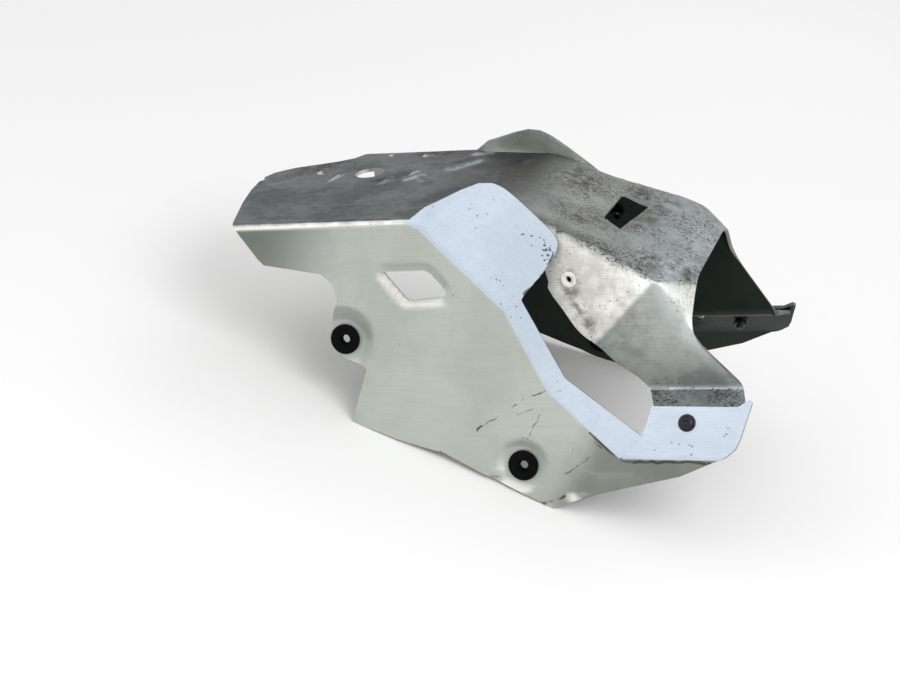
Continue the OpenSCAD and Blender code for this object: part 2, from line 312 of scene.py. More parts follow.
@dataclass(frozen=True)
class Zone:
    """Part of a finish with a tone of its own, from low to high along an axis.

    It holds only where the surface faces up less than under says.
    """

    tone: Point
    by: ZoneBy
    axis: Point
    low: float
    high: float
    ragged: float = 0.0
    amount: float = 1.0
    under: float = 1.0


@dataclass(frozen=True)
class SheetFinish:
    """Brushed and worn aluminium of one region.

    tone and shade are the two ends of its colour, brush stretches the grain along the three
    guard axes, grime and specks are amounts from 0 to 1, spots are places where grime gathers,
    strokes are dark marks, some of them painted shade, painted_highlights are soft painted
    highlights for light caught on dents and creases, soot is the amount of fine dark speckle on
    what faces up at the front, and zones hold tones by place or by tilt, many of them painted
    highlight and shade.
    """

    name: str
    tone: Point
    shade: Point
    brush: Point
    roughness: float = 0.42
    metallic: float = 0.55
    grain: float = 0.25
    grime: float = 0.15
    specks: float = 0.2
    mottle: float = 0.8
    soot: float = 0.0
    gloss: float = 0.5
    zones: tuple[Zone, ...] = ()
    spots: tuple[tuple[Point, float], ...] = ()
    strokes: tuple[Stroke, ...] = ()
    painted_highlights: tuple[Stroke, ...] = ()


class NodeDesk:
    """Lays shader nodes for one material."""

    def __init__(self, name: str) -> None:
        """Starts an empty material.

        Args:
            name: Name of the material.
        """
        self.material = bpy.data.materials.new(name)
        self.material.use_nodes = True
        self.tree = self.material.node_tree
        self.tree.nodes.clear()

    def feed(self, socket: bpy.types.NodeSocket, value: object) -> None:
        """Links a socket to another one, or sets it.

        Args:
            socket: The socket.
            value: Another socket, or a value.
        """
        if isinstance(value, bpy.types.NodeSocket):
            self.tree.links.new(value, socket)
        else:
            socket.default_value = value

    def add(self, kind: str, **values: object) -> bpy.types.Node:
        """Adds a node and sets its properties and its sockets.

        Args:
            kind: The node's type, without the ShaderNode prefix.
            values: Property names, or socket names with _ for a space.

        Returns:
            The node.
        """
        node = self.tree.nodes.new("ShaderNode" + kind)
        for key, value in values.items():
            if hasattr(node, key) and not isinstance(value, bpy.types.NodeSocket):
                setattr(node, key, value)
            else:
                self.feed(node.inputs[key.replace("_", " ")], value)
        return node

    def math(self, op: str, a: object, b: object = 0.0, clamp: bool = False) -> bpy.types.NodeSocket:
        """Lays a Math node.

        Args:
            op: Its operation.
            a: First number or socket.
            b: Second number or socket.
            clamp: Whether the result stays between 0 and 1.

        Returns:
            The result.
        """
        node = self.add("Math", operation=op, use_clamp=clamp)
        self.feed(node.inputs[0], a)
        self.feed(node.inputs[1], b)
        return node.outputs[0]

    def times(self, a: object, b: object) -> bpy.types.NodeSocket:
        """Product of two numbers or sockets."""
        return self.math("MULTIPLY", a, b)

    def vmath(self, op: str, a: object, b: object, out: int = 0) -> bpy.types.NodeSocket:
        """Lays a Vector Math node.

        Args:
            op: Its operation.
            a: First vector or socket.
            b: Second vector or socket, or the factor of a scale.
            out: Which output counts: 0 for a vector, 1 for a number.

        Returns:
            The result.
        """
        node = self.add("VectorMath", operation=op)
        self.feed(node.inputs[0], a)
        self.feed(node.inputs["Scale"] if op == "SCALE" else node.inputs[1], b)
        return node.outputs[out]

    def along(self, vector: bpy.types.NodeSocket, axis: Point) -> bpy.types.NodeSocket:
        """How far a vector goes along an axis."""
        return self.vmath("DOT_PRODUCT", vector, axis, out=1)

    def step(self, value: object, low: float, high: float) -> bpy.types.NodeSocket:
        """Lays a smooth step.

        Args:
            value: Number or socket.
            low: Where the step is 0; above high it turns the step round.
            high: Where the step is 1.

        Returns:
            The step.
        """
        node = self.add("MapRange", interpolation_type="SMOOTHSTEP", Value=value)
        node.inputs["From Min"].default_value, node.inputs["From Max"].default_value = low, high
        return node.outputs[0]

    def noise(self, vector: bpy.types.NodeSocket, scale: float, detail: float = 3.0,
              rough: float = 0.55) -> bpy.types.NodeSocket:
        """Factor of a Noise Texture."""
        return self.add("TexNoise", Vector=vector, Scale=scale, Detail=detail,
                        Roughness=rough).outputs[0]

    def mix(self, factor: object, a: object, b: object) -> bpy.types.NodeSocket:
        """Mixes two colours.

        Args:
            factor: Share of the second one.
            a: First colour or socket.
            b: Second colour or socket.

        Returns:
            The mixed colour.
        """
        node = self.add("Mix", data_type="RGBA")
        for index, value in ((0, factor), (6, a), (7, b)):
            self.feed(node.inputs[index], value)
        return node.outputs[2]

    def line_gap(self, here: bpy.types.NodeSocket, a: Point, b: Point) -> bpy.types.NodeSocket:
        """Measures how far the surface is from a line with ends.

        Args:
            here: Place on the surface.
            a: Start of the line.
            b: End of the line.

        Returns:
            The distance.
        """
        run = Vector(b) - Vector(a)
        to_a = self.vmath("SUBTRACT", here, tuple(a))
        share = self.math("DIVIDE", self.along(to_a, tuple(run)), run.length_squared, clamp=True)
        return self.vmath("DISTANCE", to_a, self.vmath("SCALE", tuple(run), share), out=1)

    def guard_axes(self) -> bpy.types.NodeSocket:
        """Turns object coordinates back into the guard's axes.

        Returns:
            Place on the surface, in millimetres.
        """
        plan = GuardPlan()
        pitch = math.radians(plan.pitch)
        here = self.add("TexCoord").outputs["Object"]
        node = self.add("Mapping", vector_type="POINT", Vector=here)
        node.inputs["Scale"].default_value = (1000, 1000, 1000)
        node.inputs["Rotation"].default_value = (0, pitch, 0)
        back = Matrix.Rotation(pitch, 3, "Y") @ Vector((plan.rest_x, 0, -plan.lift))
        node.inputs["Location"].default_value = back
        return node.outputs[0]

    def finish(self, colour: bpy.types.NodeSocket, rough: object, metallic: float = 0.0,
               gloss: float = 0.5, bump: tuple[float, float, object] | None = None
               ) -> bpy.types.Material:
        """Lays the shader and its output.

        Args:
            colour: Base colour.
            rough: Roughness.
            metallic: Metal share.
            gloss: Specular level.
            bump: Strength, distance and height of the bump, if there is one.

        Returns:
            The finished material.
        """
        shader = self.add("BsdfPrincipled", Base_Color=colour, Roughness=rough, Metallic=metallic)
        shader.inputs["Specular IOR Level"].default_value = gloss
        if bump:
            relief = self.add("Bump", Strength=bump[0], Distance=bump[1], Height=bump[2])
            self.feed(shader.inputs["Normal"], relief.outputs[0])
        self.feed(self.add("OutputMaterial").inputs[0], shader.outputs[0])
        return self.material


def rgb(c: Point) -> tuple[float, float, float, float]:
    """Colour written as display values, as linear light with full alpha."""
    lin = [x / 12.92 if x <= 0.04045 else ((x + 0.055) / 1.055) ** 2.4 for x in c]
    return (*lin, 1.0)


class SheetDesk(NodeDesk):
    """Lays the material of one region of the sheet, layer by layer."""

    GRIME = (0.27, 0.25, 0.21)
    SOOT = (0.2, 0.19, 0.18)
    SPECK = (0.14, 0.13, 0.12)
    # Colour of the dark strokes: real marks, and some painted shade lines along an edge and in a dent.
    STROKE = (0.17, 0.16, 0.15)
    # Colour of the painted highlights, for light caught on dents and creases.
    PAINTED_HIGHLIGHT = (0.80, 0.83, 0.84)
    SOOT_TILT = (0.35, 0.8)
    SOOT_FROM = (195, 260)

    def __init__(self, f: SheetFinish) -> None:
        """Lays place, tilt, grains and the ground tone.

        Args:
            f: The finish.
        """
        super().__init__(f.name)
        self.f, self.at = f, self.guard_axes()
        self.tilt = self.add("TexCoord").outputs["Normal"]
        self.fine = self.noise(self.at, 0.11, 5.0, 0.65)
        self.grain = self.noise(self.vmath("MULTIPLY", self.at, f.brush), 1.0, 3.0, 0.7)
        cloud = self.step(self.noise(self.at, 0.016, 4.0), 0.36, 0.66)
        self.blend = self.math("ADD", cloud, self.ragged(2 * f.mottle), clamp=True)
        self.colour = self.mix(self.blend, rgb(f.tone), rgb(f.shade))

    def ragged(self, amount: float) -> bpy.types.NodeSocket:
        """Fine noise about 0, by that amount."""
        return self.times(self.math("SUBTRACT", self.fine, 0.5), amount)

    def coat(self, share: bpy.types.NodeSocket, tone: Point) -> None:
        """Lays a tone over the colour by its share."""
        self.colour = self.mix(share, self.colour, rgb(tone))

    def zones(self) -> None:
        """Lays the zones with tones of their own, the painted highlights and shade among them, and the
        streaks of the brushing.
        """
        f = self.f
        for zone in f.zones:
            source = self.at if zone.by is ZoneBy.PLACE else self.tilt
            reach = self.math("ADD", self.along(source, zone.axis), self.ragged(zone.ragged))
            share = self.times(self.step(reach, zone.low, zone.high), zone.amount)
            if zone.under < 1:
                up = self.along(self.tilt, UP)
                share = self.times(share, self.step(up, zone.under, zone.under - 0.2))
            tone = self.mix(self.times(self.blend, f.mottle * 0.3), rgb(zone.tone), rgb(f.shade))
            self.colour = self.mix(share, self.colour, tone)
        streak = self.times(self.step(self.grain, 0.42, 0.72), f.grain)
        self.coat(streak, tuple(c * 0.72 for c in f.shade))

    def grime(self) -> bpy.types.NodeSocket:
        """Lays grime, in clouds and round the places that the finish names.

        Returns:
            Where the grime is.
        """
        low = 0.72 - 0.3 * self.f.grime
        patch = self.step(self.noise(self.at, 0.03, 6.0, 0.7), low, low + 0.23)
        for place, reach in self.f.spots:
            away = self.step(self.vmath("DISTANCE", self.at, place, out=1), reach, reach * 0.2)
            patch = self.math("MAXIMUM", patch, self.times(away, self.step(self.fine, 0.38, 0.6)))
        self.coat(self.times(patch, 0.62 + 0.3 * self.f.grime), self.GRIME)
        return patch

    def soot(self) -> None:
        """Lays the fine dark speckle on what faces up at the front."""
        pepper = self.step(self.noise(self.at, 0.42, 6.0, 0.75), 0.47, 0.58)
        where = self.step(self.noise(self.at, 0.03, 5.0, 0.7), 0.4, 0.56)
        where = self.times(where, self.step(self.along(self.tilt, UP), *self.SOOT_TILT))
        where = self.times(where, self.step(self.along(self.at, (1, 0, 0)), *self.SOOT_FROM))
        self.coat(self.times(self.times(pepper, where), self.f.soot), self.SOOT)

    def specks(self) -> bpy.types.NodeSocket:
        """Lays round dark specks.

        Returns:
            Where the specks are.
        """
        dots = self.add("TexVoronoi", Vector=self.at, Scale=0.22, Randomness=1.0).outputs[0]
        low = 0.66 - 0.28 * self.f.specks
        few = self.step(self.noise(self.at, 0.035, 2.0), low, low + 0.14)
        dots = self.times(self.step(dots, 0.2, 0.1), few)
        self.coat(self.times(dots, 0.8), self.SPECK)
        return dots

    def bent(self) -> bpy.types.NodeSocket:
        """Moves the place on the surface a little by noise.

        Returns:
            The moved place.
        """
        move = self.add("TexNoise", Vector=self.at, Scale=0.09, Detail=3.0).outputs[1]
        move = self.vmath("SCALE", self.vmath("SUBTRACT", move, (0.5, 0.5, 0.5)), 5.0)
        return self.vmath("ADD", self.at, move)

    def strokes(self, marks: bpy.types.NodeSocket) -> bpy.types.NodeSocket:
        """Lays dark strokes, bent and broken up by noise, some of them painted shade, and the painted
        highlights.

        Args:
            marks: Where there are marks so far.

        Returns:
            Where there are marks now.
        """
        bent = self.bent() if self.f.strokes else self.at
        for a, b, width in self.f.strokes:
            line = self.step(self.line_gap(bent, a, b), width, width * 0.35)
            line = self.times(line, self.step(self.fine, 0.3, 0.44))
            self.coat(self.times(line, 0.8), self.STROKE)
            marks = self.math("MAXIMUM", marks, line)
        # Painted highlights: soft pale streaks that stand for light caught on dents and creases.
        for a, b, width in self.f.painted_highlights:
            highlight_share = self.step(self.line_gap(self.at, a, b), width, width * 0.1)
            self.coat(self.times(self.times(highlight_share, self.step(self.fine, 0.3, 0.6)), 0.5), self.PAINTED_HIGHLIGHT)
        return marks

    def lay(self) -> bpy.types.Material:
        """Lays every layer in order.

        Returns:
            The material.
        """
        self.zones()
        patch = self.grime()
        if self.f.soot:
            self.soot()
        marks = self.strokes(self.specks())
        dirt = self.math("MAXIMUM", self.times(patch, 0.6), marks)
        rough = self.math("ADD", self.times(self.grain, 0.22), self.f.roughness - 0.11)
        rough = self.math("ADD", rough, self.times(dirt, 0.3), clamp=True)
        height = self.math("ADD", self.times(self.grain, 0.5), self.times(marks, -0.8))
        return self.finish(self.colour, rough, self.f.metallic, self.f.gloss, (0.16, 0.0004, height))


def wall_stroke(x0: float, z0: float, x1: float, z1: float, width: float) -> Stroke:
    """Stroke on the near wall between two of its points."""
    plan = GuardPlan()
    return tuple(plan.on_wall(x0, z0)), tuple(plan.on_wall(x1, z1)), width


def panel_stroke(u0: float, v0: float, u1: float, v1: float, width: float) -> Stroke:
    """Places a stroke on the near panel.

    Args:
        u0: Its start along the ridge, from the panel's front corner.
        v0: Its start away from the ridge.
        u1: Its end along the ridge.
        v1: Its end away from the ridge.
        width: Its half width.

    Returns:
        The stroke.
    """
    plan = GuardPlan()
    k = plan.ridge()
    n, reach = plan.flange_n(k[1], k[2], plan.near_bend), (k[2] - k[1]).length
    start, end = (tuple(blank(k[1], k[2], n, reach + u, v)) for u, v in ((u0, v0), (u1, v1)))
    return start, end, width


# The first four strokes run along the panel's front edge as a painted shadow line at its shaded rim;
# the rest are dark nicks.
PANEL_STROKES = tuple(panel_stroke(*s) for s in (
    (0.2, 55, 2.2, 40, 1.3), (2.6, 41, 3.6, 26, 1.3), (3.6, 28, 2.6, 21.5, 2.4), (-4, 61, 0, 54, 0.9),
    (-13, 60, -12.6, 60.4, 1.5), (-9.5, 58, -9, 58.4, 1.9), (-7.2, 60.5, -6.6, 60.5, 1.6),
    (-16, 63, -15.8, 63, 1.1), (-5, 56, -4.6, 56.5, 1.7), (-11, 57, -10.8, 57, 1.2),
    (-8, 53, -7.7, 53, 1.3), (-25, 58, -24.6, 58.4, 1.2), (-31, 54, -30, 55, 1.3),
    (-3.5, 51, -3.2, 51.5, 1.2), (-20, 52, -19.8, 52, 1.0)))
# The two wide strokes at the dent near x 283-290, z -216 to -210 are painted shade in the dent.
WALL_STROKES = tuple(wall_stroke(*s) for s in (
    (261.7, -135.6, 240.2, -144.7, 0.9), (240.2, -144.7, 222.6, -155.4, 0.7),
    (222.0, -156.0, 203.0, -167.8, 0.6), (202.9, -169.5, 206.5, -165.0, 1.0),
    (236.1, -155.2, 255.0, -148.5, 0.5), (256.3, -155.0, 242.0, -179.5, 0.6),
    (254.0, -226.4, 268.5, -222.7, 1.5), (268.5, -222.7, 288.2, -214.3, 1.7),
    (288.5, -213.0, 282.6, -211.0, 2.6), (290.0, -216.0, 289.5, -210.5, 1.8),
    (274.0, -203.2, 295.6, -188.2, 0.6), (296.0, -169.0, 322.1, -191.5, 1.7),
    (322.1, -191.5, 392.0, -191.2, 1.7), (300.0, -176.0, 306.0, -181.0, 0.7),
    (212.0, -206.0, 226.0, -207.5, 2.0), (169.7, -186.4, 173.0, -188.2, 1.0)))


class SheetLooks:
    """Finishes of the sheet, in the order of the regions."""

    # Tone of the painted highlight where the wall's surface turns up.
    PAINTED_FOLD_HIGHLIGHT = (0.90, 0.895, 0.865)
    TOP = SheetFinish(
        "sheet_top", (0.37, 0.395, 0.40), (0.23, 0.25, 0.255), (0.03, 0.6, 1.0), roughness=0.44,
        metallic=0.36, grain=0.16, grime=0.12, specks=0.55, mottle=1.2, soot=0.95, gloss=0.15,
        zones=(Zone((0.24, 0.245, 0.235), ZoneBy.PLACE, (1, 0.15, 0), 120, 200, 30, 0.8),
               Zone((0.52, 0.53, 0.52), ZoneBy.PLACE, (1, 0, 0), 205, 262, 60),
               Zone((0.60, 0.63, 0.64), ZoneBy.PLACE, (1, 0, 0), 305, 360, 50),
               # Painted highlight: lighter bluish band where the belly and the nose top turn away from
               # facing up, at folds and creases.
               Zone((0.79, 0.81, 0.80), ZoneBy.TILT, (0, 0, 1), 0.90, 0.74, 0.06),
               # Painted highlight: cream where the surface faces sideways, on the lit upper facets of
               # the nose side and on the belly's folds.
               Zone((0.98, 0.973, 0.95), ZoneBy.TILT, (0, 0, 1), 0.86, 0.4, 0.1),
               # Painted shade: grey on the nose side's lower facets, behind the crease e-k and where
               # the surface faces down (this zone and the next).
               Zone((0.67, 0.69, 0.675), ZoneBy.PLACE, (0.7071, 0, -0.7071), 284.5, 289.5, 3,
                    under=0.62),
               Zone((0.67, 0.69, 0.675), ZoneBy.TILT, (0, 0, 1), -0.03, -0.18, 0.06)),
        # Painted highlights: light caught on the belly's dents and along the creases of the nose side.
        painted_highlights=(((149, 43, 0), (165, 58, 0), 10), ((112, 26, 0), (120, 33, 0), 5),
                ((94, 8, 0), (101, 22, 0), 4), ((118, 12, 0), (128, 20, 0), 7),
                ((160, 78, 0), (172, 80, 0), 8),
                ((355, -95, -54), (376, -92, -101), 13), ((376, -92, -101), (410, -78, -149), 12)),
        spots=(((327, 38, -39), 19), ((308, 54, -30), 20), ((326, 8, -38), 18), ((322, -14, -37), 11),
               ((290, -40, -22), 26), ((345, -66, -48), 26), ((335, 60, -43), 12),
               ((262, 30, -10), 36), ((210, 20, 0), 44), ((120, 86, 0), 26), ((20, 60, 0), 26),
               ((365, -60, -60), 24), ((280, -81, -56), 13), ((281, -83, -66), 12),
               ((287, -85, -80), 12), ((295, -88, -92), 10)))
    WALL = SheetFinish(
        "sheet_wall", (0.72, 0.742, 0.714), (0.68, 0.70, 0.67), (0.03, 1.1, 1.1), metallic=0.4,
        grain=0.14, grime=0.02, specks=0.12, mottle=0.5, strokes=WALL_STROKES,
        zones=(Zone((0.36, 0.39, 0.36), ZoneBy.PLACE, (-1, 0, 0.4), -125, -20, 10, 0.9),
               # Painted shadow: darker on the front of the wall below the bracket.
               Zone((0.41, 0.42, 0.39), ZoneBy.PLACE, (1, 0, -0.7), 400, 445, 10, 0.9),
               # Painted shade: darker where the surface faces down.
               Zone((0.50, 0.51, 0.49), ZoneBy.TILT, (0, 0, 1), 0.12, -0.12, 0.0, 0.55),
               # Painted highlight: pale where the surface turns up, along the folds, the window's lips
               # and the lower rims of the dishes.
               Zone(PAINTED_FOLD_HIGHLIGHT, ZoneBy.TILT, (0.3, 0, 0.95), 0.2, 0.46, 0.0)))
    # The flange is the same sheet as the wall; its lighter, bluer tone than the wall's is painted
    # light, as it faces the lamp.
    FLANGE = SheetFinish(
        "sheet_flange", (0.78, 0.822, 0.874), (0.74, 0.782, 0.834), (0.05, 1.3, 1.3), metallic=0.5,
        grain=0.2, grime=0.0, specks=0.5, mottle=0.5, strokes=PANEL_STROKES,
        spots=(((232, -70, -66), 8), ((243, -72, -20), 16)))
    # Painted shade: the cut rims of the sheet are darker, for the shade on them, with grime over it.
    EDGE = SheetFinish(
        "sheet_edge_painted_shade", (0.52, 0.53, 0.52), (0.36, 0.365, 0.355), (0.5, 0.5, 0.5), roughness=0.45,
        metallic=0.5, grain=0.3, grime=0.3, specks=0.0)
    # Painted shade: the inner faces are dark, as they lie in shade; the zone paints them light within
    # about 30 mm of the belly, for the lit inner face of the far panel.
    INSIDE = SheetFinish(
        "sheet_inside_painted_shade", (0.13, 0.165, 0.145), (0.09, 0.115, 0.10), (0.03, 0.9, 0.9), roughness=0.42,
        metallic=0.45, grain=0.2, grime=0.3, specks=0.3,
        zones=(Zone((0.86, 0.865, 0.84), ZoneBy.PLACE, (0, 0, 1), -38, -8, 12),))
    ORDER = (WALL, FLANGE, TOP, EDGE, INSIDE)


@dataclass(frozen=True)
class PlainFinish:
    """Finish of a fitting: colour, worn colour, roughness and metal share.

    Nearer than painted_shade_within to the guard's middle plane it is painted dark, as painted shade
    behind the sheet.
    """

    name: str
    colour: Point
    worn: Point
    roughness: float
    metallic: float
    scale: float = 0.4
    dust: float = 0.25
    gloss: float = 0.5
    painted_shade_within: float = 0.0
    DUST: ClassVar[Point] = (0.42, 0.41, 0.38)
    SHADE_BEHIND_SHEET: ClassVar[Point] = (0.10, 0.11, 0.105)

    def material(self) -> bpy.types.Material:
        """Builds the material, with fine mottling and bump.

        Returns:
            The material.
        """
        d = NodeDesk(self.name)
        at = d.guard_axes()
        mottle = d.noise(at, self.scale, 5.0, 0.6)
        dust = d.step(d.noise(at, 0.15, 4.0, 0.7), 0.5, 0.75)
        colour = d.mix(d.step(mottle, 0.35, 0.7), rgb(self.colour), rgb(self.worn))
        colour = d.mix(d.times(dust, self.dust), colour, rgb(self.DUST))
        # Painted shade on the part of the fitting that sits behind the sheet.
        if self.painted_shade_within:
            off = d.math("ABSOLUTE", d.along(at, (0, 1, 0)))
            behind = d.step(off, self.painted_shade_within + 0.4, self.painted_shade_within - 0.4)
            colour = d.mix(behind, colour, rgb(self.SHADE_BEHIND_SHEET))
        rough = d.math("ADD", d.times(mottle, 0.25), self.roughness - 0.12)
        return d.finish(colour, rough, self.metallic, self.gloss, (0.2, 0.0003, mottle))


RUBBER = PlainFinish("grommet_rubber", (0.006, 0.008, 0.01), (0.02, 0.024, 0.028), 0.7, 0.0,
                      dust=0.02, gloss=0.08)
# The rivet nut gets painted shade where it sits behind the sheet.
INSERT = PlainFinish("insert_steel", (0.96, 0.96, 0.94), (0.82, 0.81, 0.78), 0.3, 0.45, dust=0.12,
                      painted_shade_within=79.0)
BOLT = PlainFinish("bolt_black_steel", (0.045, 0.055, 0.085), (0.1, 0.11, 0.15), 0.35, 0.3,
                    dust=0.08)


@dataclass
class GuardSheet:
    """The guard: one sheet, folded, pressed, pierced and worn."""

    plan: GuardPlan = field(default_factory=GuardPlan)
    cell: float = 3.8
    first_cut: float = 0.63
    soften: float = 8.0
    weld: float = 0.3
    relaxing: int = 34
    grommet_hole: float = 18.0
    rivet_hole: float = 9.2
    bolt_hole: float = 6.6
    front_grommet: Flat = (239.0, -196.5)
    rear_grommet: Flat = (91.5, -95.0)
    rivet_at: Flat = (280, -56)
    bolt_at: Flat = (53, 29)
    WINDOW: ClassVar[list[Flat]] = [(130.5, -40), (166, -39.6), (170.5, -41.5), (181.5, -54),
                                    (183, -58), (180.5, -61.5), (151, -63.2), (147.5, -61)]
    VENT: ClassVar[list[Flat]] = [(59, -20), (76, -26), (86, 46), (61, 43)]
    WALL_DENTS: ClassVar[tuple[Dent, ...]] = (
        ((261, -134), (210, -164), 0.7, 9.0), ((287, -211), (280, -216), 2.4, 10.0),
        ((262, -227), (292, -214), 1.2, 7.0), ((212, -208), (222, -209), 1.6, 7.0),
        ((296, -198), (330, -197), 1.2, 12.0))
    BELLY_DENTS: ClassVar[tuple[Dent, ...]] = (
        ((94, 8), (112, 30), 2.6, 8.0), ((127, 19), (140, 4), -2.0, 8.0),
        ((147, 41), (162, 58), 2.2, 12.0), ((153, -56), (171, -20), 1.4, 9.0),
        ((44, 16), (48, 35), 1.2, 5.0), ((-8, 20), (8, 34), 1.5, 12.0),
        ((112, 82), (113, 82), 2.0, 9.0), ((176, 40), (205, 52), 2.0, 16.0))

    def __post_init__(self) -> None:
        """Starts an empty net with its layer of fold widths."""
        self.bm = bmesh.new()
        self.folds = self.bm.edges.layers.float.new("bevel_weight_edge")

    def vert(self, p: Vector) -> bmesh.types.BMVert:
        """Gives the vertex at a point, shared by the facets that meet there.

        Args:
            p: The point.

        Returns:
            A vertex that is there, or a new one.
        """
        for v in self.bm.verts:
            if (v.co - p).length < self.weld:
                return v
        return self.bm.verts.new(p)

    def facet(self, points: list[Vector], region: Region, side: Side, outward: Vector) -> None:
        """Adds one flat facet.

        Args:
            points: Its corners in order, as they lie on the near side.
            region: Part of the sheet that it belongs to.
            side: Side that it is carried over to.
            outward: Roughly where its outer face looks, on the near side.
        """
        ring = []
        for p in points:
            v = self.vert(on_side(p, side))
            if v not in ring:
                ring.append(v)
        f = self.bm.faces.new(ring)
        f.material_index = region
        f.normal_update()
        if f.normal.dot(on_side(outward, side)) < 0:
            f.normal_flip()

    def fold(self, a: Vector, b: Vector, width: float, side: Side = Side.NEAR) -> None:
        """Marks an edge of the net as a round fold.

        Args:
            a: Its start, on the near side.
            b: Its end.
            width: Width of the round from the edge to where it ends.
            side: Side that it is carried over to.

        Raises:
            ValueError: If the net has no such edge.
        """
        edge = self.bm.edges.get([self.vert(on_side(p, side)) for p in (a, b)])
        if edge is None:
            raise ValueError(f"no fold between {a} and {b}")
        edge[self.folds] = width / self.soften

    def nose_points(self) -> dict[str, Vector]:
        """Places the corners of the nose on the near side.

        Returns:
            The corners by their letters.
        """
        p = self.plan
        tip = p.belly_l + 150 * math.cos(math.radians(p.nose_slope))
        a, b = p.nose_at(0, -73), p.nose_at(38, -77)
        return {"a": a, "b": b, "c": p.nose_at(122.5, -95), "d": p.nose_at(150, -62),
                "t": a.lerp(b, 0.25), "k": Vector((tip - 3, -92, -101)),
                "g1": Vector((336, -78, -152)), "g2": Vector((tip + 33, -78, -151)),
                "e": Vector((299.5, -91, -106))}

    @staticmethod
    def on_plane(x: float, z: float, o: Vector, n: Vector) -> Vector:
        """Point of the plane through o with normal n at that x and z."""
        return Vector((x, o.y - (n.x * (x - o.x) + n.z * (z - o.z)) / n.y, z))

    def nose_plane(self) -> tuple[Vector, Vector]:
        """Places the upper facet of the near side of the nose.

        Returns:
            One of its points and its outward normal.
        """
        c = self.nose_points()
        n = (c["e"] - c["b"]).cross(c["c"] - c["b"]).normalized()
        return c["b"], n if n.y < 0 else -n

    def rivet_frame(self, side: Side) -> tuple[Vector, Vector]:
        """Place and outward axis of a rivet nut."""
        o, n = self.nose_plane()
        return on_side(self.on_plane(*self.rivet_at, o, n), side), on_side(n, side)

    def bolt_frame(self, side: Side) -> tuple[Vector, Vector]:
        """Place and outward axis of a bracket bolt."""
        k, n = self.plan.ridge(), self.plan.bracket_n(side)
        return on_side(blank(k[4], k[5], n, *self.bolt_at), side), on_side(n, side)

    def wall(self, side: Side) -> None:
        """Adds one side wall.

        Args:
            side: Its side; the far one is cut short at the slanted corner of the belly.
        """
        p, cut = self.plan, 0.0 if side == Side.NEAR else self.plan.corner_cut
        flat = [(cut, 0), (max(cut, 21), -28), (max(cut + .5, 26), -33), (max(cut + 4, 48), -36.5),
                (76, -41), (85, -48), (88, -55), (88.5, -64), (82, -77), (77, -90), (78, -98),
                (82.5, -105.5), (90, -111), (97, -113.5), (106, -115.5), (110, -119), (99, -148.5),
                (94.5, -160), (96, -163.5),
                (135, -177.5), (173, -187.5), (202, -202.5), (254, -227), (260, -230.5), (267, -229),
                (302, -218), (368, -202.5), (396, -190.5)]
        k = p.ridge()
        points = [p.on_wall(*q) for q in flat] + [k[5], k[4], k[3], k[2], k[1], k[0]]
        self.facet(points, Region.WALL, side, p.wall_n())

    def flanges(self, side: Side) -> None:
        """Adds the wide panel, the strip and the bracket of one side.

        Args:
            side: Its side; the far flanges are bent in a little more.
        """
        p, k = self.plan, self.plan.ridge()
        bend = p.near_bend if side == Side.NEAR else p.far_bend
        nb, nc, nd = (p.flange_n(k[i], k[i + 1], bend) for i in (1, 2, 3))
        ne = p.bracket_n(side)
        q = crease_end(k[2], (k[3] - k[2]).normalized(), nc, nb, p.strip_w)
        q2 = crease_end(k[3], (k[4] - k[3]).normalized(), nd, nc, p.strip_w + 1)
        q3 = crease_end(k[4], (k[5] - k[4]).normalized(), ne, nd, p.strip_w + 1)
        u2, w, h = (k[2] - k[1]).length, p.panel_w, p.bracket_h
        panel = [(u2 + 2, 41), (u2, 54), (u2 - 3, w - 4), (u2 - 5, w - 1), (u2 - 9, w), (36, w),
                 (26, w - 1.5), (19, w - 4.5), (11, w - 12), (4, 46), (-1, 33), (-8, 16)]
        tab = [(92, 9), (96, 18), (100, 32), (104, h + 3), (102, h + 6), (93, h), (24, h), (21, 30),
               (19, 24), (16.5, 20), (12.5, 17.6)]
        panel = [blank(k[1], k[2], nb, *c) for c in panel]
        tab = [blank(k[4], k[5], ne, *c) for c in tab]
        for ring, n in (([k[0], k[1], k[2], q] + panel, nb), ([k[2], k[3], q2, q], nc),
                        ([k[3], k[4], q3, q2], nd), ([k[4], k[5]] + tab + [q3], ne)):
            self.facet(ring, Region.FLANGE, side, n)
        for a, b, width in (
                (k[0], k[1], 3.4), (k[1], k[2], 3.4), (k[2], k[3], 3.0), (k[3], k[4], 2.6),
                (k[4], k[5], 2.4), (k[2], q, 2.0), (k[3], q2, 2.0), (k[4], q3, 2.0)):
            self.fold(a, b, width, side)

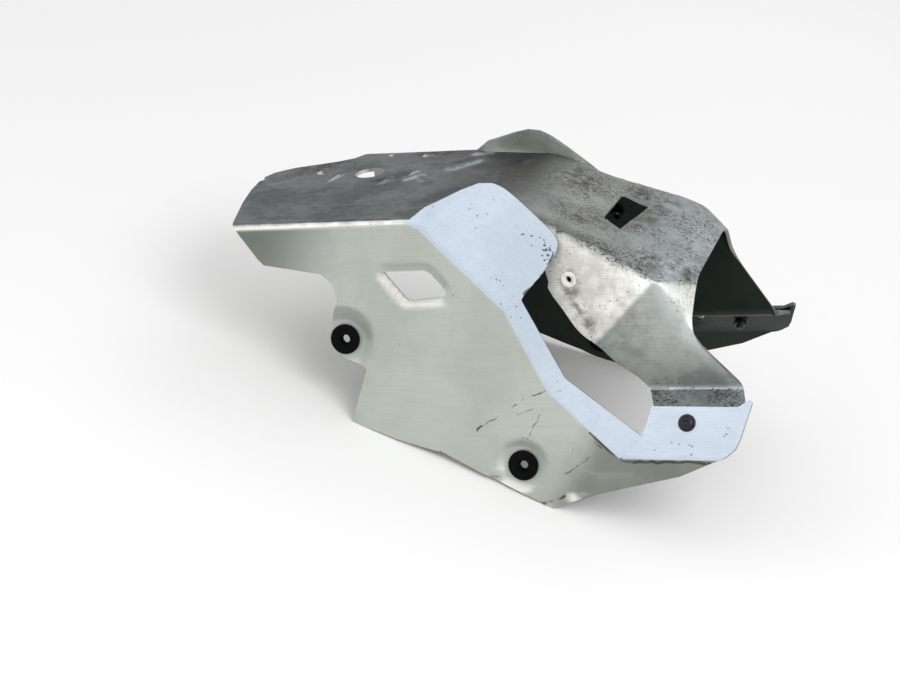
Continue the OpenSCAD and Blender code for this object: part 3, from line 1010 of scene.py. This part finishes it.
    def nose_side(self, side: Side) -> None:
        """Adds the side of the nose, its sill and the lap behind the bracket.

        Args:
            side: Its side.
        """
        p, c, k = self.plan, self.nose_points(), self.plan.ridge()
        rear = [(291, -105.5), (282.5, -96), (272.5, -81), (265, -71), (261, -64), (262, -59)]
        out = Vector((0.3, -1, 0.3))
        edge = [self.on_plane(x, z, *self.nose_plane()) for x, z in rear]
        self.facet([c["t"], c["b"], c["c"], c["e"]] + edge, Region.TOP, side, out)
        self.facet([c["c"], c["k"], c["e"]], Region.TOP, side, out)
        g = (c["g1"] - c["k"]).cross(c["g2"] - c["k"]).normalized()
        low = [self.on_plane(x, z, c["k"], g) for x, z in ((328, -141), (317, -131), (309, -123))]
        self.facet([c["e"], c["k"], c["g2"], c["g1"]] + low, Region.TOP, side, Vector((0.3, -1, 0)))
        self.facet([c["c"], c["d"], c["k"]], Region.TOP, side, Vector((1, -1, 0)))
        ne = p.bracket_n(side)
        off = ne * (p.sheet + 0.4)
        h1, h2 = (blank(k[4], k[5], ne, u, p.bracket_h - 2) - off for u in (26, 99))
        self.facet([c["g1"], c["g2"], h2, h1], Region.TOP, side, Vector(UP))
        lap = [blank(k[4], k[5], ne, u, 16) - off for u in (94, 30)]
        self.facet([h1, h2] + lap, Region.FLANGE, side, ne)
        self.fold(c["g1"], c["g2"], 4.0, side)
        self.fold(h1, h2, 3.0, side)

    def belly_and_nose_top(self) -> None:
        """Adds the belly and the nose top, which join both sides."""
        p, c = self.plan, self.nose_points()
        h, cut = p.half, p.corner_cut
        rear = [(0, -h), (-15, -38), (-22, -2), (-24, 21), (-19.5, 26), (-24, 31), (-19, 44), (-4, 56),
                (33, 71), (45, 79), (cut, h)]
        front = [(p.fold_l, h), (166, h - 9), (211, h - 18)]
        ring = [Vector((x, y, 0)) for x, y in rear + front] + [on_side(c["a"], Side.FAR), c["a"]]
        ring += [Vector((x, -y, 0)) for x, y in reversed(front)]
        edge = [c[n] for n in "atbcd"]
        for points in (ring, edge + [on_side(v, Side.FAR) for v in reversed(edge)]):
            self.facet(points, Region.TOP, Side.NEAR, Vector(UP))
        round_fold = p.fold_r * math.tan(math.radians(90 - p.lean) / 2)
        for start, side in ((0, Side.NEAR), (cut, Side.FAR)):
            self.fold(Vector((start, -h, 0)), Vector((p.fold_l, -h, 0)), round_fold, side)

    def round_folds(self) -> None:
        """Rounds the marked folds."""
        mesh = bpy.data.meshes.new("guard_net")
        self.bm.to_mesh(mesh)
        obj = link(bpy.data.objects.new("guard_net", mesh))
        mod = obj.modifiers.new("folds", "BEVEL")
        mod.limit_method, mod.width, mod.segments = "WEIGHT", self.soften, 5
        mod.use_clamp_overlap = False
        bake_modifiers(obj)
        self.bm.clear()
        self.bm.from_mesh(obj.data)
        bpy.data.objects.remove(obj)

    def slice_up(self) -> None:
        """Cuts every facet into cells, so that the surface can be pressed and dented."""
        lo = [min(v.co[i] for v in self.bm.verts) for i in range(3)]
        hi = [max(v.co[i] for v in self.bm.verts) for i in range(3)]
        for axis, normal in enumerate(((1, 0, 0), (0, 1, 0), UP)):
            at = lo[axis] + self.cell * self.first_cut
            while at < hi[axis]:
                geom = self.bm.verts[:] + self.bm.edges[:] + self.bm.faces[:]
                bmesh.ops.bisect_plane(self.bm, geom=geom, dist=1e-4, plane_co=Vector(normal) * at,
                                       plane_no=normal)
                at += self.cell
        bmesh.ops.triangulate(self.bm, faces=self.bm.faces[:], quad_method="BEAUTY",
                              ngon_method="BEAUTY")
        bmesh.ops.remove_doubles(self.bm, verts=self.bm.verts[:], dist=self.weld)

    def soften_nose(self) -> None:
        """Makes the pressed creases of the nose soft by relaxing the mesh near them."""
        c = self.nose_points()
        far = {n: on_side(v, Side.FAR) for n, v in c.items()}
        lines = [(c["a"], far["a"], 30.0)]
        for s in (c, far):
            lines += [(s["t"], s["b"], 22.0), (s["b"], s["c"], 32.0), (s["c"], s["e"], 26.0),
                      (s["c"], s["k"], 24.0), (s["e"], s["k"], 24.0), (s["c"], s["d"], 18.0)]
        weight = {}
        for v in self.bm.verts:
            w = max(smooth(1.0 - line_gap(v.co, a, b) / reach) for a, b, reach in lines)
            if w > 0:
                weight[v] = w
        for _ in range(self.relaxing):
            moved = {}
            for v, w in weight.items():
                near = [e.other_vert(v) for e in v.link_edges if not v.is_boundary or e.is_boundary]
                if len(near) > 1:
                    mean = sum((n.co for n in near), Vector()) / len(near)
                    moved[v] = v.co.lerp(mean, 0.6 * w)
            for v, co in moved.items():
                v.co = co

    def pressed(self, v: bmesh.types.BMVert) -> float:
        """Works out how far the sheet is pressed inward at a vertex.

        Args:
            v: The vertex.

        Returns:
            The depth; below 0 the sheet is pressed outward.
        """
        p, x, y, z = self.plan, *v.co
        depth = 0.22 * noise.noise(v.co * 0.016) + 0.12 * noise.noise(v.co * 0.05)
        side = Side.NEAR if y < 0 else Side.FAR
        if abs(v.normal.dot(p.wall_n(side))) > 0.97 and z < -8:
            for (gx, gz), deep, r1, r2 in ((self.rear_grommet, 6.0, 15.5, 30.0),
                                           (self.front_grommet, 3.0, 14.5, 24.0)):
                r = math.hypot(x - gx, (z - gz) / math.cos(math.radians(p.lean)))
                depth += deep * (1 - smooth((r - r1) / (r2 - r1)))
            if 120 < x < 195 and -75 < z < -28:
                depth += 2.4 * (1 - smooth((outline_distance((x, z), self.WINDOW) + 1) / 10))
        if side == Side.NEAR and z < -100 and abs(v.normal.y) > 0.8:
            depth += self.dented(Vector((x, z)), self.WALL_DENTS)
        if z > -3:
            depth += self.dented(Vector((x, y)), self.BELLY_DENTS)
        s = (x - p.belly_l) / math.cos(math.radians(p.nose_slope))
        if 20 < s < 120 and v.normal.z > 0.8:
            lip = 3.4 * (1 - smooth((outline_distance((s, y), self.VENT) + 1) / 11))
            depth += lip * (0.4 + 0.6 * smooth((s - 62) / 20))
            depth += 1.4 * noise.noise(v.co * 0.022)
        return depth

    @staticmethod
    def dented(q: Vector, dents: tuple[Dent, ...]) -> float:
        """Adds up the dents at a flat point.

        Args:
            q: The point.
            dents: Start, end, depth and reach of each dent.

        Returns:
            The depth.
        """
        return sum(deep * (1 - smooth(line_gap(q, Vector(a), Vector(b)) / reach))
                   for a, b, deep, reach in dents)

    def press(self) -> None:
        """Presses dishes, lips and dents into the fine mesh."""
        self.bm.normal_update()
        push = {v: self.pressed(v) for v in self.bm.verts}
        rims = {v for v in self.bm.verts if v.is_boundary}
        for v, depth in push.items():
            v.co -= v.normal * (depth if v not in rims else max(-0.5, min(depth, 6.0)))

    @staticmethod
    def prism(bm: bmesh.types.BMesh, centre: Vector, n: Vector, along: Vector,
              outline: list[Flat], reach: float) -> None:
        """Adds a closed prism to a mesh of cutters.

        Args:
            bm: The mesh.
            centre: Place of the outline's origin.
            n: Axis of the prism.
            along: Roughly where the outline's first axis points.
            outline: The outline.
            reach: How far the prism goes each way along its axis.
        """
        ex = (along - n * along.dot(n)).normalized()
        ey = n.cross(ex)
        rings = [[bm.verts.new(centre + ex * u + ey * w + n * h) for u, w in outline]
                 for h in (-reach, reach)]
        bm.faces.new(rings[0][::-1])
        bm.faces.new(rings[1])
        for i in range(len(outline)):
            j = (i + 1) % len(outline)
            bm.faces.new((rings[0][i], rings[0][j], rings[1][j], rings[1][i]))

    def cutters(self) -> bpy.types.Object:
        """Builds the prisms that pierce the sheet.

        Returns:
            An object with one prism for every hole.
        """
        p, bm, x = self.plan, bmesh.new(), Vector((1, 0, 0))
        for side in Side:
            n = p.wall_n(side)
            for where in (self.front_grommet, self.rear_grommet):
                self.prism(bm, p.on_wall(*where, side), n, x, circle(self.grommet_hole), 16)
            turn, cx, cz = (1 if n.cross(x).z > 0 else -1), 156, -51
            stretch = 1 / math.cos(math.radians(p.lean))
            shape = [(u - cx, turn * (w - cz) * stretch) for u, w in self.WINDOW]
            self.prism(bm, p.on_wall(cx, cz, side), n, x, shape[::turn], 16)
            self.prism(bm, *self.rivet_frame(side), x, circle(self.rivet_hole), 8)
            self.prism(bm, *self.bolt_frame(side), x, circle(self.bolt_hole, 24), 10)
        o, slope = p.nose_at(0, 0), p.nose_at(10, 0) - p.nose_at(0, 0)
        c = self.nose_points()
        n = (c["c"] - c["a"]).cross(p.nose_at(50, 50) - c["a"]).normalized()
        n = n if n.z > 0 else -n
        turn = n.cross(slope.normalized()).y
        shape = [(s, w * turn) for s, w in self.rounded(self.VENT, 3.0)]
        self.prism(bm, o, n, slope, shape, 12)
        for cx, cy, d in ((76, 34, 26), (29, 40, 11), (80, 83, 8), (112, 82, 8)):
            self.prism(bm, Vector((cx, cy, 0)), Vector(UP), x, circle(d), 12)
        slot = self.rounded([(-10, -2), (10, -2), (10, 2), (-10, 2)], 1.9)
        self.prism(bm, Vector((46, 26, 0)), Vector(UP), Vector((4, 20, 0)), slot, 12)
        bmesh.ops.recalc_face_normals(bm, faces=bm.faces[:])
        return link(bpy.data.objects.new("guard_cutters", mesh_of(bm, "guard_cutters")))

    @staticmethod
    def rounded(outline: list[Flat], r: float) -> list[Flat]:
        """Rounds the corners of an outline.

        Args:
            outline: Its corners.
            r: How far each round reaches from its corner.

        Returns:
            The new outline.
        """
        out = []
        for i, b in enumerate(outline):
            a, c, b = Vector(outline[i - 1]), Vector(outline[(i + 1) % len(outline)]), Vector(b)
            p0, p1 = b + (a - b).normalized() * r, b + (c - b).normalized() * r
            out += [tuple(p0.lerp(b, t).lerp(b.lerp(p1, t), t)) for t in (0, 0.25, 0.5, 0.75, 1)]
        return out

    def build(self) -> bpy.types.Object:
        """Builds the guard.

        Returns:
            Its object.
        """
        self.belly_and_nose_top()
        for side in Side:
            self.wall(side)
            self.flanges(side)
            self.nose_side(side)
        self.round_folds()
        self.slice_up()
        self.soften_nose()
        self.press()
        obj = link(bpy.data.objects.new("guard_sheet", mesh_of(self.bm, "guard_sheet")))
        self.thicken(obj)
        obj.data.transform(self.plan.to_frame)
        for vert in obj.data.vertices:
            vert.co.z = max(vert.co.z, 0.0)
        obj.data.shade_smooth()
        obj.data.set_sharp_from_angle(angle=math.radians(38))
        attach(obj, ROOT)
        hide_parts("guard_plate")
        return obj

    def thicken(self, obj: bpy.types.Object) -> None:
        """Gives the sheet its thickness, its holes and its finishes.

        Args:
            obj: Object with the outer skin, whose faces carry the slots of their regions.
        """
        outer = int(Region.EDGE)
        for _ in range(2 * outer + 1):
            obj.data.materials.append(None)
        thick = obj.modifiers.new("thickness", "SOLIDIFY")
        thick.thickness, thick.offset, thick.use_even_offset = self.plan.sheet, -1.0, True
        thick.material_offset, thick.material_offset_rim = 2 * outer, outer
        cut = self.cutters()
        holes = obj.modifiers.new("holes", "BOOLEAN")
        holes.operation, holes.solver, holes.object = "DIFFERENCE", "EXACT", cut
        bake_modifiers(obj)
        bpy.data.objects.remove(cut)
        slots = [f.material_index for f in obj.data.polygons]
        regions = [outer if outer <= i < 2 * outer else min(i, int(Region.INSIDE)) for i in slots]
        obj.data.materials.clear()
        for finish in SheetLooks.ORDER:
            obj.data.materials.append(SheetDesk(finish).lay())
        obj.data.polygons.foreach_set("material_index", regions)


class Turned:
    """Round pieces turned from a profile about their own axis."""

    @staticmethod
    def place(origin: Vector, axis: Vector) -> Matrix:
        """Places a turned piece in the guard's axes.

        Args:
            origin: Where its own origin goes.
            axis: Where its own z axis goes.

        Returns:
            The matrix.
        """
        ex = (Vector((1, 0, 0)) - axis * axis.x).normalized()
        ey = axis.cross(ex)
        m = Matrix((ex, ey, axis)).transposed().to_4x4()
        m.translation = origin
        return m

    @staticmethod
    def lathe(profile: list[tuple[float, ...]], steps: int) -> bmesh.types.BMesh:
        """Turns a closed profile.

        Args:
            profile: Radius and height of its corners; with a third number a corner goes round
                a hexagon, for a nut or a socket.
            steps: Faces round the axis.

        Returns:
            The turned faces.
        """
        bm, rings = bmesh.new(), []
        for i in range(steps):
            t, ring = i * math.tau / steps, []
            for r, z, *six in profile:
                g = Turned.hexagon(t) if six else 1.0
                ring.append(bm.verts.new((r * math.cos(t) * g, r * math.sin(t) * g, z)))
            rings.append(ring)
        for i, a in enumerate(rings):
            b = rings[(i + 1) % steps]
            for j in range(len(profile)):
                m = (j + 1) % len(profile)
                bm.faces.new((a[j], b[j], b[m], a[m]))
        return bm

    @staticmethod
    def hexagon(t: float) -> float:
        """Radius of a hexagon of half width 1 in direction t."""
        return 1.0 / math.cos((t % (math.pi / 3)) - math.pi / 6)

    @staticmethod
    def make(profile: list[tuple[float, ...]], name: str, frame: tuple[Vector, Vector],
             finish: PlainFinish, slot: Slot, node: str, steps: int = 64) -> bpy.types.Object:
        """Makes the object of a turned piece.

        Args:
            profile: Its profile, as lathe takes it.
            name: Its name.
            frame: Its origin and its axis in the guard's axes.
            finish: Its finish.
            slot: Its material slot of the record; not used.
            node: The node that it stands for.
            steps: Faces round the axis.

        Returns:
            The object.
        """
        bm = Turned.lathe(profile, steps)
        bmesh.ops.recalc_face_normals(bm, faces=bm.faces[:])
        mesh = mesh_of(bm, name)
        mesh.transform(GuardPlan().to_frame @ Turned.place(*frame))
        known = bpy.data.materials.get(finish.name)
        mesh.materials.append(known or finish.material())
        mesh.shade_smooth()
        mesh.set_sharp_from_angle(angle=math.radians(40))
        obj = link(bpy.data.objects.new(name, mesh))
        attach(obj, ROOT)
        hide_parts(node)
        return obj


@dataclass
class Fittings:
    """Grommets, rivet nuts, bracket bolts and their nuts, on both sides."""

    sheet: GuardSheet
    grommet_d: float = 25.0
    bore: float = 9.0
    lip: float = 4.0

    @staticmethod
    def arc(cx: float, cz: float, r: float, start: float, end: float) -> list[Flat]:
        """Draws an arc of a profile.

        Args:
            cx: Its centre across the axis.
            cz: Its centre along the axis.
            r: Its radius.
            start: Angle of its start in degrees.
            end: Angle of its end.

        Returns:
            Its points.
        """
        turns = [math.radians(start + (end - start) * i / 6) for i in range(7)]
        return [(cx + r * math.cos(t), cz + r * math.sin(t)) for t in turns]

    def grommet(self, side: Side, front: bool) -> bpy.types.Object:
        """Builds one rubber grommet with rolled lips and a waisted groove.

        Args:
            side: Its side.
            front: Whether it is the front one of its side.

        Returns:
            Its object.
        """
        p = self.sheet.plan
        where = self.sheet.front_grommet if front else self.sheet.rear_grommet
        n = p.wall_n(side)
        origin = p.on_wall(*where, side) - n * (3.0 if front else 6.0)
        r, b, neck, t, lip = self.grommet_d / 2, self.bore / 2, 8.9, p.sheet, self.lip
        profile = [(neck, 0), (neck, -t), (r - .4, -t)] + self.arc(r - 1.6, -t - 1.6, 1.6, 0, -90)
        profile += [(b + 2.2, -t - lip + .3)] + self.arc(b + 1.2, -t - lip + 1.5, 1.2, 270, 180)
        profile += [(b, -3.6), (3.3, -2.4), (3.3, -0.8), (b, 0.4)]
        profile += self.arc(b + 1.3, lip - 1.9, 1.3, 180, 90)
        profile += [(b + 2.6, lip - .9), (b + 3.4, lip - .25)]
        profile += self.arc(r - 1.9, lip - 1.9, 1.9, 90, 0) + [(r - .2, .1)]
        name = f"grommet_{'front' if front else 'rear'}_{side.word}"
        return Turned.make(profile, "rubber_" + name, (origin, n), RUBBER, Slot.RUBBER, name)

    def rivet_nut(self, side: Side) -> bpy.types.Object:
        """Builds one rivet nut: a rounded flange, a threaded bore and the set sleeve behind.

        Args:
            side: Its side.

        Returns:
            Its object.
        """
        thread = []
        for i in range(9):
            z = 0.6 - i * 1.5
            thread += [(2.55, z), (3.0, z - 0.75)]
        profile = self.arc(5.95, .4, .8, -30, 90) + [(3.6, 1.2), (3.1, .9)] + thread
        profile += [(2.6, -13), (4.3, -13), (4.5, -12.6), (4.5, -8.2)]
        profile += [(5.6, -6.2), (5.9, -5.2), (5.3, -3.9), (4.45, -3.1), (4.4, 0.0)]
        return Turned.make(profile, f"nose_insert_{side.word}", self.sheet.rivet_frame(side),
                           INSERT, Slot.INSERT, f"rivet_nut_{side.word}")

    def bolt(self, side: Side) -> bpy.types.Object:
        """Builds one flanged button bolt with a hexagon socket.

        Args:
            side: Its side.

        Returns:
            Its object.
        """
        profile = self.arc(6.4, .6, .6, -90, 90) + [(5.7, 1.3)]
        profile += [(5.5, 1.9), (5.0, 2.7), (4.2, 3.35), (3.3, 3.7)]
        profile += [(2.45, 3.75, 1), (2.2, 3.5, 1), (2.2, 1.7, 1), (1.9, 1.5, 1), (0.02, 1.2)]
        profile += [(0.02, -16), (2.5, -16), (3.0, -15.4)]
        for i in range(14):
            profile += [(3.0, -15.0 + i), (2.65, -14.5 + i)]
        profile += [(3.0, -0.3), (3.1, 0)]
        return Turned.make(profile, f"bracket_screw_{side.word}", self.sheet.bolt_frame(side),
                           BOLT, Slot.BOLT, f"bracket_bolt_{side.word}", 72)

    def nut(self, side: Side) -> bpy.types.Object:
        """Builds one flanged hexagon nut behind the bracket.

        Args:
            side: Its side.

        Returns:
            Its object.
        """
        o, n = self.sheet.bolt_frame(side)
        o = o - n * (2 * self.sheet.plan.sheet + 0.2)
        profile = [(3.1, 0), (6.7, 0), (7.0, -.3), (6.9, -.9), (6.0, -1.3)]
        profile += [(5.0, -1.5, 1), (5.0, -5.6, 1), (4.8, -6.0, 1)]
        profile += [(4.2, -6.2), (3.3, -6.2), (3.1, -5.9)]
        return Turned.make(profile, f"bracket_back_nut_{side.word}", (o, n), BOLT, Slot.BOLT,
                           f"bracket_nut_{side.word}", 72)

    def build(self) -> list[bpy.types.Object]:
        """Builds every fitting of both sides.

        Returns:
            Their objects.
        """
        made = []
        for side in Side:
            made += [self.grommet(side, True), self.grommet(side, False), self.rivet_nut(side),
                     self.bolt(side), self.nut(side)]
        return made


@dataclass
class Studio:
    """Floor, soft lights and the camera of the photograph."""

    lens: float = 80.0
    spot: Point = (0.27008046, -1.50476217, 0.85447652)
    right: Point = (0.9220067, 0.31031387, 0.23153605)
    up: Point = (-0.34619188, 0.39298327, 0.85188927)
    ambient: float = 0.62
    floor_tone: float = 0.965

    def floor(self) -> bpy.types.Object:
        """Builds the pale floor.

        Returns:
            Its object.
        """
        bm = bmesh.new()
        bmesh.ops.create_grid(bm, x_segments=8, y_segments=8, size=30.0)
        mesh = mesh_of(bm, "floor")
        d, tone = NodeDesk("floor_paper"), self.floor_tone
        speck = d.noise(d.add("TexCoord").outputs["Object"], 40.0, 2.0)
        dim = tone * 0.99
        colour = d.mix(speck, (tone, tone, tone, 1), (dim, dim, tone * 0.985, 1))
        mesh.materials.append(d.finish(colour, 0.9))
        obj = link(bpy.data.objects.new("floor", mesh))
        return obj

    def lamp(self, name: str, place: Point, target: Point, size: float, power: float) -> None:
        """Adds one soft area lamp.

        Args:
            name: Its name.
            place: Where it hangs.
            target: What it is aimed at.
            size: Its diameter.
            power: Its power in watts.
        """
        data = bpy.data.lights.new(name, "AREA")
        data.shape, data.size, data.energy = "DISK", size, power
        obj = link(bpy.data.objects.new(name, data))
        obj.location = place
        obj.rotation_mode = "QUATERNION"
        obj.rotation_quaternion = (Vector(target) - Vector(place)).to_track_quat("-Z", "Y")

    def world(self) -> None:
        """Sets an even pale surround, white where the camera or a reflection sees it."""
        world = bpy.data.worlds.new("studio")
        bpy.context.scene.world = world
        world.use_nodes = True
        tree = world.node_tree
        tree.nodes.clear()
        path = tree.nodes.new("ShaderNodeLightPath")
        most = path.outputs["Is Camera Ray"]
        for ray in ("Is Glossy Ray", "Is Transmission Ray"):
            either = tree.nodes.new("ShaderNodeMath")
            either.operation = "MAXIMUM"
            tree.links.new(most, either.inputs[0])
            tree.links.new(path.outputs[ray], either.inputs[1])
            most = either.outputs[0]
        seen = tree.nodes.new("ShaderNodeMapRange")
        tree.links.new(most, seen.inputs["Value"])
        seen.inputs["To Min"].default_value = self.ambient
        seen.inputs["To Max"].default_value = 1.0
        back = tree.nodes.new("ShaderNodeBackground")
        tree.links.new(seen.outputs[0], back.inputs["Strength"])
        back.inputs["Color"].default_value = (1, 1, 1, 1)
        out = tree.nodes.new("ShaderNodeOutputWorld")
        tree.links.new(back.outputs[0], out.inputs[0])

    def camera(self) -> None:
        """Adds the camera where the photograph was taken from."""
        data = bpy.data.cameras.new("camera")
        data.lens, data.sensor_width = self.lens, 36.0
        data.clip_start, data.clip_end = 0.05, 60.0
        obj = link(bpy.data.objects.new("camera", data))
        x, y = Vector(self.right), Vector(self.up)
        m = Matrix((x, y, x.cross(y))).transposed().to_4x4()
        m.translation = Vector(self.spot)
        obj.matrix_world = m
        bpy.context.scene.camera = obj

    def build(self) -> None:
        """Builds the whole studio."""
        self.floor()
        self.world()
        self.camera()
        self.lamp("key", (0.9, -1.0, 1.5), (0, 0, 0.1), 1.2, 16.0)
        self.lamp("fill", (-1.2, -1.1, 1.1), (0, 0, 0.1), 1.4, 5.0)
        self.lamp("back", (0.2, 1.5, 1.4), (0, 0, 0.1), 1.4, 6.0)
        view = bpy.context.scene.view_settings
        view.view_transform = "Standard"


def main() -> None:
    """Builds the scene."""
    logging.basicConfig(level=logging.INFO, format="%(name)s: %(message)s")
    Studio().build()
    LOG.info("studio ready")
    guard = GuardSheet()
    obj = guard.build()
    LOG.info("%s: %d vertices", obj.name, len(obj.data.vertices))
    for piece in Fittings(guard).build():
        LOG.info("%s: %d vertices", piece.name, len(piece.data.vertices))


if __name__ == "__main__":
    main()
